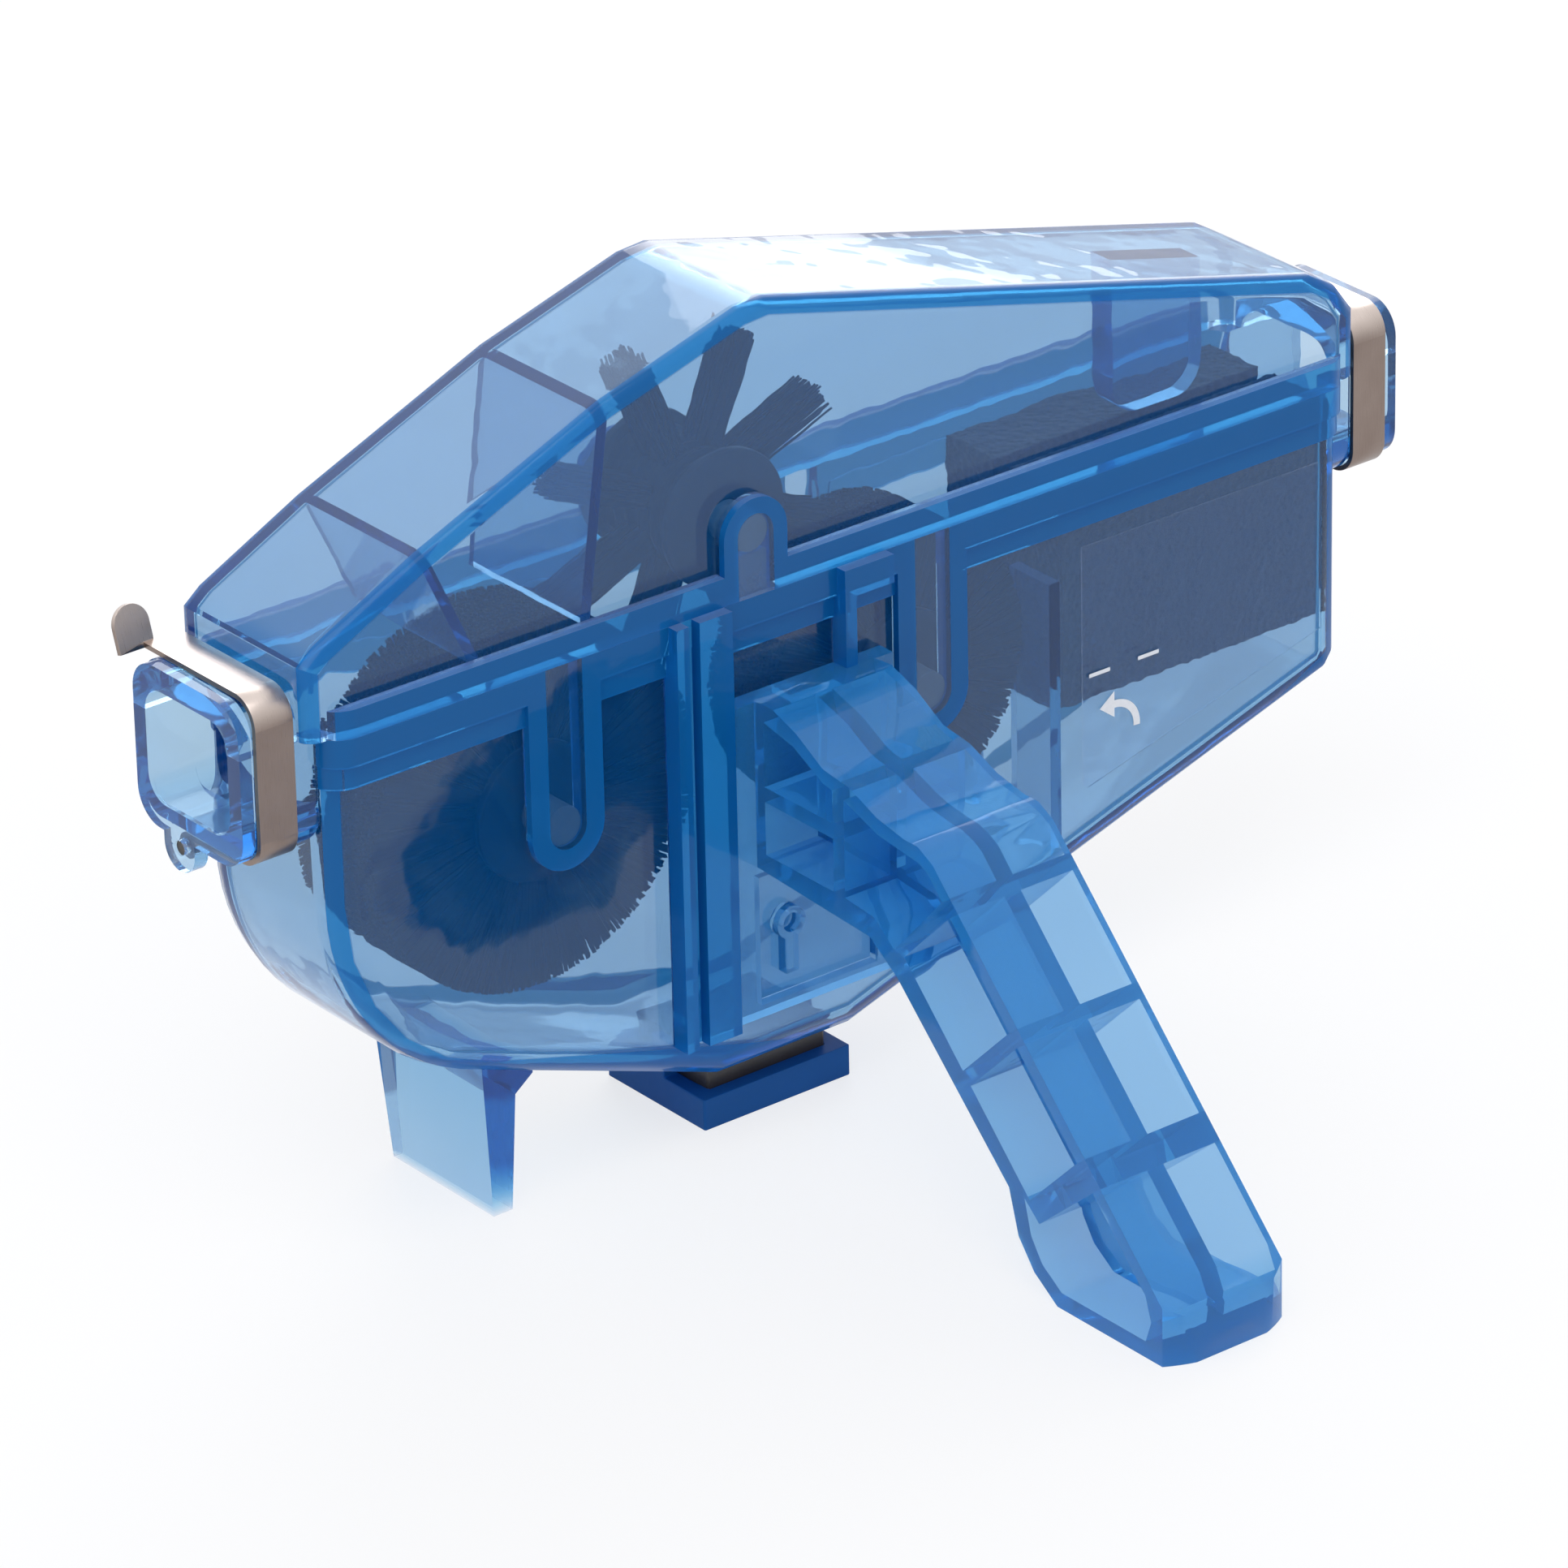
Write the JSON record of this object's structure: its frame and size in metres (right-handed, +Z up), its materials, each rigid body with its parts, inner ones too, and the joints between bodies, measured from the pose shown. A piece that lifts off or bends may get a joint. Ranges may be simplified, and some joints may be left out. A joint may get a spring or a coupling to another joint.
{
  "type": "bike chain cleaner",
  "caption": "Clear handheld bicycle chain cleaner: hinged strap latches hold a lift-off cover on a reservoir with bristle wheels, a wiping sponge, a magnet and a ribbed grip.",
  "frame": {"origin": "middle of the underside of the magnet tray, on the surface that the tool stands on", "axes": "+X along the chain towards the rear nozzle, -Y towards the grip, +Z up"},
  "size_m": [0.2135, 0.1273, 0.1292],
  "materials": {
    "clear_blue": "clear, glossy",
    "tray_blue": "opaque, glossy",
    "magnet_dark": "sintered, matt",
    "spring_steel": "bright rolled",
    "pin_steel": "drawn wire",
    "label_film": "printed film",
    "sponge_foam": "open cell foam",
    "nylon_dark": "nylon filament",
    "hub_plastic": "moulded",
    "axle_plastic": "moulded"
  },
  "bodies": {
    "reservoir": {"tank": "clear_blue", "handle": "clear_blue", "magnet_tray": "tray_blue", "magnet": "magnet_dark", "latch_pin_front": "pin_steel", "latch_pin_rear": "pin_steel", "fill_label": "label_film", "sponge_near": "sponge_foam", "sponge_far": "sponge_foam"},
    "lid": {"cover": "clear_blue"},
    "front_latch": {"latch_strap_front": "spring_steel"},
    "rear_latch": {"latch_strap_rear": "spring_steel"},
    "upper_wheel": {"upper_axle": "axle_plastic", "upper_hub": "hub_plastic", "upper_bristles": "nylon_dark"},
    "front_wheel": {"front_axle": "axle_plastic", "front_hub": "hub_plastic", "front_bristles": "nylon_dark"},
    "rear_wheel": {"rear_axle": "axle_plastic", "rear_hub": "hub_plastic", "rear_bristles": "nylon_dark"}
  },
  "joints": [
    {"name": "lid_lift", "type": "slide", "parent": "reservoir", "child": "lid", "axis": [0, 0, 1], "range_m": [0, 0.06]},
    {"name": "front_latch_swing", "type": "hinge", "parent": "reservoir", "child": "front_latch", "pos_m": [-0.0873, 0.003, 0.0665], "axis": [1, 0, 0], "range_deg": [0, 110], "deforming": ["latch_strap_front"]},
    {"name": "rear_latch_swing", "type": "hinge", "parent": "reservoir", "child": "rear_latch", "pos_m": [0.1133, 0.003, 0.0665], "axis": [1, 0, 0], "range_deg": [0, 110], "deforming": ["latch_strap_rear"]},
    {"name": "upper_wheel_spin", "type": "hinge", "parent": "lid", "child": "upper_wheel", "pos_m": [-0.006, 0, 0.095], "axis": [0, 1, 0], "continuous": true},
    {"name": "front_wheel_spin", "type": "hinge", "parent": "reservoir", "child": "front_wheel", "pos_m": [-0.0405, 0, 0.06], "axis": [0, 1, 0], "continuous": true},
    {"name": "rear_wheel_spin", "type": "hinge", "parent": "reservoir", "child": "rear_wheel", "pos_m": [0.026, 0, 0.06], "axis": [0, 1, 0], "continuous": true}
  ]
}
